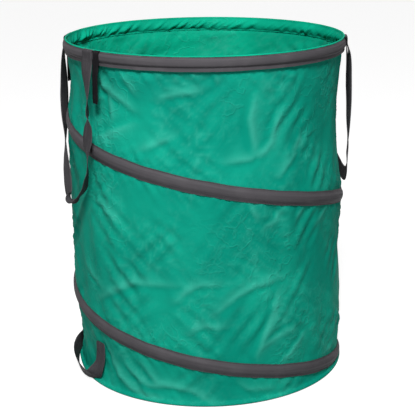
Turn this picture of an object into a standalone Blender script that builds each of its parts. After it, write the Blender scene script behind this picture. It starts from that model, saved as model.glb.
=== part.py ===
# Pop up leaf bag: a cloth tub held open by one spring of two hoops and a coil.
# +Z is up, the origin is the middle of the underside, and -X is the side of the tipping handle.
# Angles are in degrees around +Z from +X. The bag stands open, with its handles hanging.

import math

import bmesh
import bpy
from mathutils import Matrix, Vector

MM = 0.001

# Overall size and cloth
BAG_HEIGHT = 680 * MM
WALL_RADIUS = 277 * MM
CLOTH = 0.8 * MM
GAP = 0.3 * MM
SIDES = 60

# Spring: rim hoop, base hoop and the coil between them, all of one wire
WIRE = 3.5 * MM
WIRE_SIDES = 5
RIM_HOOP_DROP = 16 * MM
TURN_DROP = 351 * MM
COIL_TOP_ANGLE = 14.6
COIL_EASE_ANGLE = 40.0

# Tape that makes the tunnels of the wires, and webbing of the handles
TAPE_WIDTH = 30 * MM
TAPE = 1.0 * MM
TUNNEL_CREST = 6 * MM
TUNNEL_FLANK = 5 * MM
RIM_TAPE_DROP = 2.5 * MM
RIM_TAPE_ROWS = 7
TAPE_EDGE_STEP = 0.4 * MM
WEBBING_WIDTH = 30 * MM
WEBBING = 1.5 * MM

# Slack of the wall between the tapes, deepest halfway, and deeper at one side under the rim
SLACK = 7 * MM
SLACK_BY_HEIGHT_SHARE = 0.05
SLACK_SHARES = (0.75, 1.0, 0.75)
LOOSE_SLACK = 9 * MM
LOOSE_ANGLE = 328.0
LOOSE_FROM_SHARE = 0.44
LOOSE_FULL_SHARE = 0.66
ROW_STEP = 1.5 * MM

# Hem folded to the inside, and piping of the bottom seam
HEM_DEPTH = 45 * MM
HEM_EASE = 0.6 * MM
PIPING = 1.2 * MM
PIPING_PROUD = 1.5 * MM
PIPING_SLIT_ANGLE = 60.0
PIPING_STEPS = 5

# Carry handles: two webbing loops on the rim, opposite each other, a little round from the X axis
CARRY_CENTRES = {"left": 175.0, "right": 355.0}
CARRY_HALF_ANGLE = 22.5
CARRY_TAB_LENGTH = 24 * MM
CARRY_FRONT_BRANCH = 190 * MM
CARRY_BACK_BRANCH = 240 * MM
CARRY_DROP = 295 * MM
CARRY_LOW_SHARE = -0.3
CARRY_STAND_OFF = 13 * MM
CARRY_LOW_STAND_OFF = 17.5 * MM
CARRY_STAND_OFF_AT = 80 * MM
CARRY_TWIST_FROM = 140 * MM
CARRY_TWIST_TO = 260 * MM
TAB_SEAT = 0.6 * MM
TAB_BEND_SHARE = 0.8

# Closing straps beside the ends of the carry handles
CLOSING_SPACING = 1.5 * MM
CLOSING_WIDTH = 20 * MM
CLOSING_LENGTH = 98 * MM
CLOSING_LOW_STAND_OFF = 2.5 * MM

# Tipping handle low on the wall, under the left carry handle
TIPPING_CENTRE = 174.0
TIPPING_HALF_ANGLE = 22.0
TIPPING_PATCH_TOP = 90 * MM
TIPPING_PATCH_LENGTH = 20 * MM
TIPPING_PATCH_SEAT = 0.4 * MM
TIPPING_BRANCH = 22 * MM
TIPPING_DROP = 60 * MM
TIPPING_STAND_OFF = 14 * MM
TIPPING_TWIST_FROM = 8 * MM
TIPPING_TWIST_TO = 48 * MM

# Places worked out from the sizes above
RIM_HOOP_Z = BAG_HEIGHT - RIM_HOOP_DROP
RIM_TAPE_TOP = BAG_HEIGHT - RIM_TAPE_DROP
RIM_TAPE_BOTTOM = RIM_TAPE_TOP - TAPE_WIDTH
PIPING_RADIUS = WIRE / 2 + GAP + PIPING
BASE_HOOP_Z = PIPING_RADIUS
BASE_HOOP_RADIUS = WALL_RADIUS + PIPING_PROUD
PIPING_TOP = 2 * PIPING_RADIUS
WALL_BOTTOM = PIPING_TOP + GAP
WALL_TOP = BAG_HEIGHT - CLOTH - GAP
HEM_BOTTOM = BAG_HEIGHT - HEM_DEPTH
COIL_RADIUS = WALL_RADIUS + GAP + WIRE / 2
TUNNEL_LIFT = WIRE + GAP
TUNNEL_OUTER = WALL_RADIUS + GAP + TUNNEL_LIFT + TAPE
DROP_PER_DEGREE = TURN_DROP / 360
COIL_BOTTOM_ANGLE = COIL_TOP_ANGLE + (RIM_HOOP_Z - BASE_HOOP_Z) / DROP_PER_DEGREE
STRAP_RADIUS = TUNNEL_OUTER + GAP + WEBBING / 2
CLOSING_SHIFT = WEBBING_WIDTH / 2 + CLOSING_SPACING + CLOSING_WIDTH / 2
CLOSING_ANGLE = CARRY_HALF_ANGLE + math.degrees(CLOSING_SHIFT / STRAP_RADIUS)
TAB_START_RADIUS = WALL_RADIUS + TAB_SEAT
TAB_START_Z = RIM_TAPE_TOP + GAP + WEBBING / 2
TAB_END_Z = TAB_START_Z - CARRY_TAB_LENGTH
TIPPING_PATCH_BOTTOM = TIPPING_PATCH_TOP - TIPPING_PATCH_LENGTH
COLUMN_ANGLES = [360 / SIDES * step for step in range(SIDES)]

COLOURS = {
    "cloth": ((0.020, 0.235, 0.165), 0.55, 0.0),
    "tape": ((0.070, 0.062, 0.074), 0.75, 0.0),
    "webbing": ((0.055, 0.050, 0.058), 0.80, 0.0),
    "hook": ((0.012, 0.012, 0.014), 0.90, 0.0),
    "wire": ((0.45, 0.46, 0.47), 0.35, 1.0),
}


def clear_scene():
    for item in list(bpy.data.objects):
        bpy.data.objects.remove(item)


def material(name, finish):
    colour, roughness, metallic = COLOURS[finish]
    made = bpy.data.materials.new(name + "_finish")
    made.use_nodes = True
    shader = made.node_tree.nodes["Principled BSDF"]
    shader.inputs["Base Color"].default_value = (*colour, 1.0)
    shader.inputs["Roughness"].default_value = roughness
    shader.inputs["Metallic"].default_value = metallic
    made.diffuse_color = (*colour, 1.0)
    return made


def point(angle, radius, height):
    turn = math.radians(angle)
    return Vector((radius * math.cos(turn), radius * math.sin(turn), height))


def outward(angle):
    return Vector((math.cos(math.radians(angle)), math.sin(math.radians(angle)), 0))


def sideways(angle):
    return Vector((-math.sin(math.radians(angle)), math.cos(math.radians(angle)), 0))


def ease(share):
    share = min(1.0, max(0.0, share))
    return share * share * (3 - 2 * share)


def finish_object(name, mesh_data, finish, parent):
    # The mesh is written round its parent's origin, which lies on the joint's axis.
    mesh = bpy.data.meshes.new(name)
    mesh_data.to_mesh(mesh)
    mesh_data.free()
    mesh.materials.append(material(name, finish))
    made = bpy.data.objects.new(name, mesh)
    bpy.context.scene.collection.objects.link(made)
    if parent:
        mesh.transform(Matrix.Translation(-world_place(parent)))
        made.parent = parent
    mesh.shade_smooth()
    mesh.set_sharp_from_angle(angle=math.radians(40))
    return made


def world_place(empty):
    place = Vector(empty.location)
    while empty.parent:
        empty = empty.parent
        place += empty.location
    return place


def pivot(name, place, parent=None):
    empty = bpy.data.objects.new(name, None)
    bpy.context.scene.collection.objects.link(empty)
    empty.location = place - world_place(parent) if parent else place
    empty.parent = parent
    return empty


def skin(name, stations, finish, parent=None, closed=False):
    # A body through closed outlines, one for each station, with the same count of points.
    work = bmesh.new()
    rings = [[work.verts.new(corner) for corner in outline] for outline in stations]
    count = len(rings[0])
    pairs = list(zip(rings, rings[1:]))
    if closed:
        pairs.append((rings[-1], rings[0]))
    for first, second in pairs:
        for corner in range(count):
            after = (corner + 1) % count
            work.faces.new((first[corner], first[after], second[after], second[corner]))
    if not closed:
        work.faces.new(rings[0])
        work.faces.new(rings[-1])
    bmesh.ops.recalc_face_normals(work, faces=work.faces)
    return finish_object(name, work, finish, parent)


def hoop_stations(outline_at):
    # outline_at(angle) gives the section there as (radius, height) pairs.
    return [[point(angle, radius, height) for radius, height in outline_at(angle)]
            for angle in COLUMN_ANGLES]


def grid_angles(first, last):
    # Steps on the same angles as the wall's columns, with the two ends added.
    step = 360 / SIDES
    whole = math.floor(first / step) + 1
    angles = [first]
    while whole * step < last:
        angles.append(whole * step)
        whole += 1
    angles.append(last)
    return angles


def coil_height(angle):
    # A straight helix, eased into the rim hoop at its top and into the base hoop at its end.
    reach = COIL_EASE_ANGLE
    from_top = angle - COIL_TOP_ANGLE
    from_end = angle - COIL_BOTTOM_ANGLE
    if from_top <= -reach:
        return RIM_HOOP_Z
    if from_top < reach:
        return RIM_HOOP_Z - DROP_PER_DEGREE * (from_top + reach) ** 2 / (4 * reach)
    if from_end >= reach:
        return BASE_HOOP_Z
    if from_end > -reach:
        return BASE_HOOP_Z + DROP_PER_DEGREE * (reach - from_end) ** 2 / (4 * reach)
    return RIM_HOOP_Z - DROP_PER_DEGREE * from_top


def ease_span(fall):
    # Angle over which the eased part of the coil falls by the given height.
    return math.sqrt(4 * COIL_EASE_ANGLE * fall / DROP_PER_DEGREE)


def coil_ends():
    # The coil starts where it clears the rim hoop and stops where it clears the piping.
    start = COIL_TOP_ANGLE - COIL_EASE_ANGLE + ease_span(WIRE + GAP)
    clear = PIPING_TOP + GAP + WIRE / 2 - BASE_HOOP_Z
    end = COIL_BOTTOM_ANGLE + COIL_EASE_ANGLE - ease_span(clear)
    return start, end


def tunnel_lift(distance):
    # How far the tape stands off the wall at this distance from the middle of a wire.
    beyond = abs(distance) - TUNNEL_CREST / 2
    return TUNNEL_LIFT * min(1.0, max(0.0, 1 - beyond / TUNNEL_FLANK))


def wall_levels(angle):
    # Heights where the wall is sewn: bottom, both edges of the lower and upper turn, rim tape, top.
    half = TAPE_WIDTH / 2
    lower = coil_height(angle + 360)
    upper = coil_height(angle)
    levels = [WALL_BOTTOM, lower - half, lower + half, upper - half, upper + half,
              RIM_TAPE_BOTTOM, WALL_TOP]
    section = ROW_STEP * (len(SLACK_SHARES) + 1)
    room = [section, ROW_STEP, section, ROW_STEP, section]
    for step in range(1, 5):
        levels[step] = max(levels[step], levels[step - 1] + room[step - 1])
    for step in range(4, 0, -1):
        levels[step] = min(levels[step], levels[step + 1] - room[step])
    return levels


def slack_depth(angle, low, high):
    # The cloth between two tapes draws in by a share of its height, more at the loose side.
    depth = min(SLACK, (high - low) * SLACK_BY_HEIGHT_SHARE)
    near = max(0.0, math.cos(math.radians(angle - LOOSE_ANGLE))) ** 2
    middle = (low + high) / 2 / BAG_HEIGHT
    high_up = (middle - LOOSE_FROM_SHARE) / (LOOSE_FULL_SHARE - LOOSE_FROM_SHARE)
    loose = LOOSE_SLACK * near * ease(high_up) * min(1.0, (high - low) / (TURN_DROP / 2))
    return depth + loose


def wall_profile(angle):
    # Rows of the wall at this angle as (height, outside radius), from the bottom up.
    levels = wall_levels(angle)
    rows = []
    for step in range(0, 6, 2):
        low, high = levels[step], levels[step + 1]
        depth = slack_depth(angle, low, high)
        rows.append((low, WALL_RADIUS))
        for row, share in enumerate(SLACK_SHARES):
            along = (row + 1) / (len(SLACK_SHARES) + 1)
            rows.append((low + (high - low) * along, WALL_RADIUS - depth * share))
        rows.append((high, WALL_RADIUS))
    rows.append((levels[6], WALL_RADIUS))
    return rows


def wall_radius(angle, height):
    # Outside radius of the wall at a column, between its rows.
    rows = wall_profile(angle)
    for (low, low_radius), (high, high_radius) in zip(rows, rows[1:]):
        if low <= height <= high:
            return low_radius + (high_radius - low_radius) * (height - low) / (high - low)
    return WALL_RADIUS


def make_wall():
    # The wall is one rectangle of cloth, closed by one upright seam where the rows change turn.
    work = bmesh.new()
    profiles = [wall_profile(angle) for angle in COLUMN_ANGLES]
    shells = []
    for inset in (0, CLOTH):
        shells.append([[work.verts.new(point(angle, radius - inset, height))
                        for height, radius in rows]
                       for angle, rows in zip(COLUMN_ANGLES, profiles)])
    count = len(profiles[0])
    for shell in shells:
        for first, second in zip(shell, shell[1:]):
            for row in range(count - 1):
                work.faces.new((first[row], first[row + 1], second[row + 1], second[row]))
        close_seam(work, shell[-1], shell[0])
    outer, inner = shells
    for column in range(SIDES):
        after = (column + 1) % SIDES
        for row in (0, count - 1):
            work.faces.new((outer[column][row], outer[after][row],
                            inner[after][row], inner[column][row]))
    bmesh.ops.recalc_face_normals(work, faces=work.faces)
    return finish_object("wall_panel", work, "cloth", None)


def close_seam(work, first, second):
    # Triangles between two columns whose rows lie at unlike heights.
    left, right = 0, 0
    last = len(first) - 1
    while left < last or right < last:
        climb_left = right == last or (
            left < last and first[left + 1].co.z <= second[right + 1].co.z)
        if climb_left:
            work.faces.new((first[left], first[left + 1], second[right]))
            left += 1
        else:
            work.faces.new((first[left], second[right + 1], second[right]))
            right += 1


def wire_section(radius, height):
    return [(radius + WIRE / 2 * math.cos(2 * math.pi * side / WIRE_SIDES),
             height + WIRE / 2 * math.sin(2 * math.pi * side / WIRE_SIDES))
            for side in range(WIRE_SIDES)]


def make_spring(rim):
    skin("rim_hoop_wire", hoop_stations(lambda angle: wire_section(COIL_RADIUS, RIM_HOOP_Z)),
         "wire", rim, closed=True)
    skin("base_hoop_wire",
         hoop_stations(lambda angle: wire_section(BASE_HOOP_RADIUS, BASE_HOOP_Z)),
         "wire", closed=True)
    start, end = coil_ends()
    stations = [[point(angle, radius, height)
                 for radius, height in wire_section(COIL_RADIUS, coil_height(angle))]
                for angle in grid_angles(start, end)]
    skin("spring_coil", stations, "wire")


def tape_outline(heights, lift_at):
    # A strip over the wall: its inside from the top down, then its outside back up.
    inside = [(WALL_RADIUS + GAP + lift_at(height), height) for height in heights]
    outside = [(radius + TAPE, height) for radius, height in reversed(inside)]
    return inside + outside


def make_spiral_tape():
    half = TAPE_WIDTH / 2
    crest = TUNNEL_CREST / 2
    knots = (half, crest + TUNNEL_FLANK, crest, -crest, -crest - TUNNEL_FLANK, -half)
    last = len(knots) - 1
    ceiling = RIM_TAPE_BOTTOM - GAP
    narrow = TAPE_EDGE_STEP * last
    start = COIL_TOP_ANGLE - COIL_EASE_ANGLE + ease_span(RIM_HOOP_Z - half + narrow - ceiling)
    end = coil_ends()[1]
    stations = []
    for angle in grid_angles(start, end):
        middle = coil_height(angle)
        heights = []
        for row, knot in enumerate(knots):
            height = min(middle + knot, ceiling - row * TAPE_EDGE_STEP)
            heights.append(max(height, WALL_BOTTOM + (last - row) * TAPE_EDGE_STEP))
        outline = tape_outline(heights, lambda height: tunnel_lift(height - middle))
        stations.append([point(angle, radius, height) for radius, height in outline])
    skin("spiral_tape", stations, "tape")


def make_rim(rim):
    start = coil_ends()[0]
    span = RIM_TAPE_TOP - RIM_TAPE_BOTTOM
    heights = [RIM_TAPE_TOP - span * row / (RIM_TAPE_ROWS - 1) for row in range(RIM_TAPE_ROWS)]

    def tape_at(angle):
        def lift(height):
            over_hoop = tunnel_lift(height - RIM_HOOP_Z)
            if angle < start:
                return over_hoop
            return max(over_hoop, tunnel_lift(height - coil_height(angle)))
        return tape_outline(heights, lift)

    def hem_at(angle):
        # The flap hangs straight from the rim tape's lower edge, clear of every row of the wall.
        top = WALL_RADIUS - CLOTH - GAP
        fall = RIM_TAPE_BOTTOM - HEM_BOTTOM
        heights = [height for height, radius in wall_profile(angle)
                   if HEM_BOTTOM < height < RIM_TAPE_BOTTOM - GAP] + [HEM_BOTTOM]
        lean = max((WALL_RADIUS - wall_radius(angle, height)) * fall
                   / (RIM_TAPE_BOTTOM - height) for height in heights)
        low = top - lean - HEM_EASE
        return [(low - CLOTH, HEM_BOTTOM), (low, HEM_BOTTOM), (top, RIM_TAPE_BOTTOM),
                (top, WALL_TOP + GAP), (WALL_RADIUS, WALL_TOP + GAP), (WALL_RADIUS, BAG_HEIGHT),
                (top - CLOTH, BAG_HEIGHT), (top - CLOTH, RIM_TAPE_BOTTOM)]

    skin("rim_tape", hoop_stations(tape_at), "tape", rim, closed=True)
    skin("rim_hem", hoop_stations(hem_at), "cloth", rim, closed=True)


def make_base():
    # The piping is a tape folded round the base hoop, with its slit towards the bottom panel.
    inner = WIRE / 2 + GAP
    open_from = 180 + PIPING_SLIT_ANGLE / 2
    sweep = 360 - PIPING_SLIT_ANGLE
    turns = [math.radians(open_from + sweep * step / PIPING_STEPS)
             for step in range(PIPING_STEPS + 1)]
    reach = 1 / math.cos(math.radians(sweep / PIPING_STEPS / 2))

    def piping_at(angle):
        round_outside = [(BASE_HOOP_RADIUS + PIPING_RADIUS * math.cos(turn),
                          BASE_HOOP_Z + PIPING_RADIUS * math.sin(turn)) for turn in turns]
        round_inside = [(BASE_HOOP_RADIUS + inner * reach * math.cos(turn),
                         BASE_HOOP_Z + inner * reach * math.sin(turn)) for turn in turns]
        return round_outside + round_inside[::-1]

    skin("base_piping", hoop_stations(piping_at), "tape", closed=True)
    radius = BASE_HOOP_RADIUS - PIPING_RADIUS * math.cos(math.radians(PIPING_SLIT_ANGLE / 2))
    work = bmesh.new()
    bmesh.ops.create_circle(work, cap_ends=True, segments=SIDES, radius=radius)
    lifted = bmesh.ops.extrude_face_region(work, geom=work.faces[:])
    raised = [item for item in lifted["geom"] if isinstance(item, bmesh.types.BMVert)]
    bmesh.ops.translate(work, vec=(0, 0, CLOTH), verts=raised)
    bmesh.ops.recalc_face_normals(work, faces=work.faces)
    finish_object("base_panel", work, "cloth", None)


def ribbon(name, middles, across, width, thickness, finish, parent):
    # A flat strap through the middles, whose width lies along the given directions.
    stations = []
    last = len(middles) - 1
    for step, middle in enumerate(middles):
        along = (middles[min(step + 1, last)] - middles[max(step - 1, 0)]).normalized()
        side = (across[step] - along * across[step].dot(along)).normalized()
        facing = side.cross(along).normalized()
        wide = side * width / 2
        thick = facing * thickness / 2
        stations.append([middle + wide + thick, middle - wide + thick,
                         middle - wide - thick, middle + wide - thick])
    return skin(name, stations, finish, parent)


def rim_exit():
    # A strap leaves the seam above the rim tape, bends over it and hangs in front of it.
    bend = (STRAP_RADIUS - TAB_START_RADIUS) * TAB_BEND_SHARE
    path = [(TAB_START_RADIUS, TAB_START_Z)]
    for quarter in range(0, 5):
        turn = math.radians(90 - 90 * quarter / 4)
        path.append((STRAP_RADIUS - bend + bend * math.cos(turn),
                     TAB_START_Z - bend + bend * math.sin(turn)))
    return path


def make_carry_handle(side, centre, tab_parent, loop_parent):
    for end, way in (("front", 1), ("back", -1)):
        angle = centre + way * CARRY_HALF_ANGLE
        path = rim_exit() + [(STRAP_RADIUS, TAB_END_Z)]
        middles = [point(angle, radius, height) for radius, height in path]
        across = [sideways(angle)] * len(middles)
        ribbon(f"carry_tab_{side}_{end}", middles, across, WEBBING_WIDTH, WEBBING,
               "webbing", tab_parent)
    radii = [STRAP_RADIUS, STRAP_RADIUS]
    middles, across = hanging_loop(centre, CARRY_HALF_ANGLE, TAB_END_Z - GAP, radii,
                                   (CARRY_FRONT_BRANCH, CARRY_BACK_BRANCH), CARRY_DROP,
                                   CARRY_LOW_SHARE, carry_stand_off,
                                   CARRY_TWIST_FROM, CARRY_TWIST_TO, 10, 7)
    ribbon(f"carry_handle_{side}", middles, across, WEBBING_WIDTH, WEBBING,
           "webbing", loop_parent)


def carry_stand_off(depth):
    # The branches swing clear of the spiral tape, then a little further to the turned bow.
    upper = CARRY_STAND_OFF - (STRAP_RADIUS - WALL_RADIUS)
    lower = CARRY_LOW_STAND_OFF - CARRY_STAND_OFF
    return upper * ease(depth / CARRY_STAND_OFF_AT) + lower * ease(
        (depth - CARRY_TWIST_FROM) / (CARRY_TWIST_TO - CARRY_TWIST_FROM))


def tipping_stand_off(depth):
    reach = (TIPPING_BRANCH + TIPPING_DROP) / 2
    return (TIPPING_STAND_OFF + SLACK) * ease(depth / reach)


def hanging_loop(centre, half_angle, top, radii, branches, drop, low_share, stand_off,
                 twist_from, twist_to, branch_steps, bow_steps):
    # Two straight branches, each run on by a quarter ellipse to the lowest point. The webbing
    # turns from flat on the wall to edge on, so that it bends the flat way at the bottom.
    # radii are those of its two ends, and low_share places the lowest point between them.
    low = half_angle * low_share
    places = []
    for side, branch in zip((1, -1), branches):
        half = []
        for step in range(branch_steps):
            half.append((side * half_angle, branch * step / branch_steps, side))
        for step in range(bow_steps + (side > 0)):
            turn = math.radians(90) * step / bow_steps
            half.append((low + (side * half_angle - low) * math.cos(turn),
                         branch + (drop - branch) * math.sin(turn), side))
        places += half[::side]
    middles = []
    across = []
    for offset, depth, side in places:
        angle = centre + offset
        turned = math.radians(90) * ease((depth - twist_from) / (twist_to - twist_from))
        radius = radii[0] + (radii[1] - radii[0]) * (1 - offset / half_angle) / 2
        middles.append(point(angle, radius + stand_off(depth), top - depth))
        across.append(-side * math.cos(turned) * sideways(angle)
                      + math.sin(turned) * outward(angle))
    return middles, across


def make_closing_strap(name, angle, parent):
    low = TAB_START_Z - CLOSING_LENGTH
    low_radius = WALL_RADIUS + CLOSING_LOW_STAND_OFF
    path = rim_exit() + [(STRAP_RADIUS, RIM_TAPE_BOTTOM),
                         ((STRAP_RADIUS + low_radius) / 2, (RIM_TAPE_BOTTOM + low) / 2),
                         (low_radius, low)]
    middles = [point(angle, radius, height) for radius, height in path]
    ribbon(name, middles, [sideways(angle)] * len(middles), CLOSING_WIDTH, WEBBING, "hook",
           parent)


def make_tipping_handle(parent):
    for end, way in (("front", 1), ("back", -1)):
        angle = TIPPING_CENTRE + way * TIPPING_HALF_ANGLE
        heights = (TIPPING_PATCH_TOP, (TIPPING_PATCH_TOP + TIPPING_PATCH_BOTTOM) / 2,
                   TIPPING_PATCH_BOTTOM)
        middles = [point(angle, patch_radius(way, height), height) for height in heights]
        ribbon(f"tipping_patch_{end}", middles, [sideways(angle)] * len(middles),
               WEBBING_WIDTH, WEBBING, "webbing", None)
    top = TIPPING_PATCH_BOTTOM - GAP
    radii = [patch_radius(way, top) for way in (1, -1)]
    middles, across = hanging_loop(TIPPING_CENTRE, TIPPING_HALF_ANGLE, top, radii,
                                   (TIPPING_BRANCH, TIPPING_BRANCH), TIPPING_DROP, 0,
                                   tipping_stand_off, TIPPING_TWIST_FROM, TIPPING_TWIST_TO,
                                   4, 8)
    ribbon("tipping_handle", middles, across, WEBBING_WIDTH, WEBBING, "webbing", parent)


def patch_radius(way, height):
    # Middle of the webbing of a patch that lies flat on the wall.
    angle = TIPPING_CENTRE + way * TIPPING_HALF_ANGLE
    return wall_radius(angle, height) + TIPPING_PATCH_SEAT + WEBBING / 2


def carry_lay_axis(centre):
    # The tabs turn about a level line through the innermost corners of their sewn ends.
    turn = math.radians(CARRY_HALF_ANGLE)
    reach = TAB_START_RADIUS * math.cos(turn) - WEBBING_WIDTH / 2 * math.sin(turn)
    return point(centre, reach, TAB_START_Z + WEBBING / 2)


def carry_lift_axis(centre):
    # The loop turns about a level line just outside the outermost corners of the tabs.
    turn = math.radians(CARRY_HALF_ANGLE)
    face = STRAP_RADIUS + WEBBING / 2
    reach = face * math.cos(turn) + WEBBING_WIDTH / 2 * math.sin(turn) + GAP / 2
    return point(centre, reach, TAB_END_Z - GAP / 2)


def tipping_axis():
    turn = math.radians(TIPPING_HALF_ANGLE)
    top = TIPPING_PATCH_BOTTOM - GAP
    face = max(patch_radius(way, top) for way in (1, -1)) + WEBBING / 2
    reach = face * math.cos(turn) + WEBBING_WIDTH / 2 * math.sin(turn) + GAP / 2
    return point(TIPPING_CENTRE, reach, TIPPING_PATCH_BOTTOM - GAP / 2)


def make_bag():
    clear_scene()
    rim = pivot("rim_slide", Vector((0, 0, 0)))
    make_spring(rim)
    make_wall()
    make_spiral_tape()
    make_rim(rim)
    make_base()
    for side, centre in CARRY_CENTRES.items():
        lay = pivot(f"carry_lay_{side}_pivot", carry_lay_axis(centre), rim)
        lift = pivot(f"carry_lift_{side}_pivot", carry_lift_axis(centre), lay)
        make_carry_handle(side, centre, lay, lift)
        for end, turn in (("front", 1), ("back", -1)):
            angle = centre + turn * CLOSING_ANGLE
            axis = point(angle, TAB_START_RADIUS, TAB_START_Z + WEBBING / 2)
            hinge = pivot(f"closing_{side}_{end}_pivot", axis, rim)
            make_closing_strap(f"closing_strap_{side}_{end}", angle, hinge)
            print(f"closing_{side}_{end} axis", [round(value, 5) for value in axis])
        print(f"carry_{side} lay axis", [round(value, 5) for value in carry_lay_axis(centre)],
              "lift axis", [round(value, 5) for value in carry_lift_axis(centre)])
    tipping = pivot("tipping_pivot", tipping_axis())
    make_tipping_handle(tipping)
    print("tipping axis", [round(value, 5) for value in tipping_axis()])
    print("coil from", round(coil_ends()[0], 2), "to", round(coil_ends()[1], 2), "degrees")
    faces = sum(len(item.data.loop_triangles) or len(item.data.polygons)
                for item in bpy.data.objects if item.type == "MESH")
    print("faces", faces)


make_bag()
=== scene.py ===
import math

import bpy
import bmesh
import numpy as np
from mathutils import Matrix, Vector


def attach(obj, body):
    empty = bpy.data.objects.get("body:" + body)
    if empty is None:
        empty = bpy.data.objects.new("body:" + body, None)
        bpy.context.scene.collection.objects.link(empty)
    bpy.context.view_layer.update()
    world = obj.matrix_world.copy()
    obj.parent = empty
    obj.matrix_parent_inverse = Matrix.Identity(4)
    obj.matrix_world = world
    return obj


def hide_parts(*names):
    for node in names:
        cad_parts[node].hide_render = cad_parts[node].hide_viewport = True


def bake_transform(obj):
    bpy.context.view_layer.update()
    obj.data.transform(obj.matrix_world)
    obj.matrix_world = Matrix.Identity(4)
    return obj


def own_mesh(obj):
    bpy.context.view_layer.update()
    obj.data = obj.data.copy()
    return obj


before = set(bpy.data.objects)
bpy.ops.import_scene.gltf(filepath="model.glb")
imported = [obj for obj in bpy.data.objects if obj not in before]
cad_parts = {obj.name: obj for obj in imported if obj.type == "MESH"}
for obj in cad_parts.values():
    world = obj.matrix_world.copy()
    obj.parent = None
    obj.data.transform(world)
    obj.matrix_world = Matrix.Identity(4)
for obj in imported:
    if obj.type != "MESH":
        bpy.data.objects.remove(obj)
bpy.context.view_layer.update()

# heights, and the shares of the wall's and the hem's height that are left when the bag is collapsed
bag = {"height": 0.680, "radius": 0.277, "cloth": 0.0008, "gap": 0.0003, "foot": 0.0068,
       "wallLeft": 0.11035, "hemLeft": 0.70}
spring = {"wire": 0.00175, "sides": 12, "rimHoopZ": 0.664, "baseHoopZ": 0.00325, "baseHoopRadius": 0.2785,
          "coilRadius": 0.27905, "dropPerDegree": 0.351 / 360, "topAngle": 14.6, "ease": 40.0,
          "coilStart": -0.43, "splitAngle": 22.0, "coilEnd": 702.8}
tape = {"thick": 0.001, "lift": 0.0038, "bell": 0.0128, "rimBottom": 0.6475, "radius": 0.2773, "cut": 0.034}


def around(angle, radius, height):
    # angle round the bag, radius outwards and height upwards, for whole arrays
    turn = np.radians(angle)
    return np.stack(np.broadcast_arrays(radius * np.cos(turn), radius * np.sin(turn), height), axis=-1)


def easeIn(share):
    # 0 below 0, 1 above 1, and a smooth step between
    share = np.clip(share, 0, 1)
    return share * share * (3 - 2 * share)


def coilHeight(angle):
    # a straight helix, joined by a parabola to the rim hoop above and to the base hoop below
    reach, fall, top, bottom = (spring[key] for key in ("ease", "dropPerDegree", "rimHoopZ", "baseHoopZ"))
    fromTop, fromEnd = angle - spring["topAngle"], angle - (spring["topAngle"] + (top - bottom) / fall)
    return np.select([fromTop <= -reach, fromTop < reach, fromEnd >= reach, fromEnd > -reach],
                     [top, top - fall * (fromTop + reach) ** 2 / (4 * reach),
                      bottom, bottom + fall * (reach - fromEnd) ** 2 / (4 * reach)], top - fall * fromTop)


def curveThrough(rows, samples):
    # Catmull-Rom curve through the rows, sampled evenly between them
    rows = np.asarray(rows, dtype=float)
    padded = np.vstack([2 * rows[0] - rows[1], rows, 2 * rows[-1] - rows[-2]])
    place = np.linspace(0, len(rows) - 1, samples)
    first = np.minimum(place.astype(int), len(rows) - 2)
    share = (place - first)[:, None]
    a, b, c, d = (padded[first + step] for step in range(4))
    return 0.5 * (2 * b + (c - a) * share + (2 * a - 5 * b + 4 * c - d) * share ** 2
                  + (3 * b - a - 3 * c + d) * share ** 3)


def unit(vectors):
    return vectors / np.linalg.norm(vectors, axis=-1, keepdims=True)


def addObject(name, data):
    made = bpy.data.objects.new(name, data)
    bpy.context.scene.collection.objects.link(made)
    return made


def surface(name, node, body, grid, uv, finish, wrapAlong=False, wrapAcross=True, sharp=60,
            marks=None):
    # A mesh over grid[along, across] that stands for a CAD node; an open end gets a cap.
    # uv has one more row or column where the grid wraps.
    alongCount, acrossCount = grid.shape[:2]
    i = np.arange(alongCount if wrapAlong else alongCount - 1)[:, None]
    j = np.arange(acrossCount if wrapAcross else acrossCount - 1)[None, :]
    nextI, nextJ = (i + 1) % alongCount, (j + 1) % acrossCount
    quads = np.stack([i * acrossCount + j, nextI * acrossCount + j,
                      nextI * acrossCount + nextJ, i * acrossCount + nextJ], axis=-1).reshape(-1, 4)
    wide = uv.shape[1]
    uvQuads = np.stack([i * wide + j, (i + 1) * wide + j, (i + 1) * wide + j + 1, i * wide + j + 1],
                       axis=-1).reshape(-1, 4)
    points = grid.reshape(-1, 3)
    p = points[quads]
    volume = (np.cross(p[:, 1], p[:, 2]) * p[:, 0] + np.cross(p[:, 2], p[:, 3]) * p[:, 0]).sum()
    step = -1 if volume < 0 else 1    # turns the faces outwards
    quads, uvQuads = quads[:, ::step], uvQuads[:, ::step]
    faces, uvPlaces = quads.tolist(), [uvQuads.ravel()]
    if wrapAcross and not wrapAlong:
        first = np.arange(acrossCount)
        for cap, start in ((first[::step], 0), (first[::-step], alongCount - 1)):
            faces.append((cap + start * acrossCount).tolist())
            uvPlaces.append(cap + start * wide)
    mesh = bpy.data.meshes.new(name)
    mesh.from_pydata(points.tolist(), [], faces)
    layer = mesh.uv_layers.new(name="UVMap")
    layer.uv.foreach_set("vector", uv.reshape(-1, 2)[np.concatenate(uvPlaces)].astype(np.float32).ravel())
    for key, values in (marks or {}).items():
        mesh.attributes.new(key, "FLOAT", "POINT").data.foreach_set(
            "value", np.broadcast_to(values, grid.shape[:2]).astype(np.float32).ravel())
    mesh.shade_smooth()
    if sharp:
        mesh.set_sharp_from_angle(angle=math.radians(sharp))
    mesh.materials.append(finish)
    made = addObject(name, mesh)
    if node:
        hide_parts(node)
    if body:
        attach(made, body)
    return made


def shell(outside, inside):
    # one closed loop across: the outside rows up, then the inside rows down
    return np.concatenate([outside, inside[:, ::-1]], axis=1)


def pairs(along, across):
    # every uv pair of a length along and a length across
    return np.stack(np.meshgrid(along, across, indexing="ij"), axis=-1)


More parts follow.
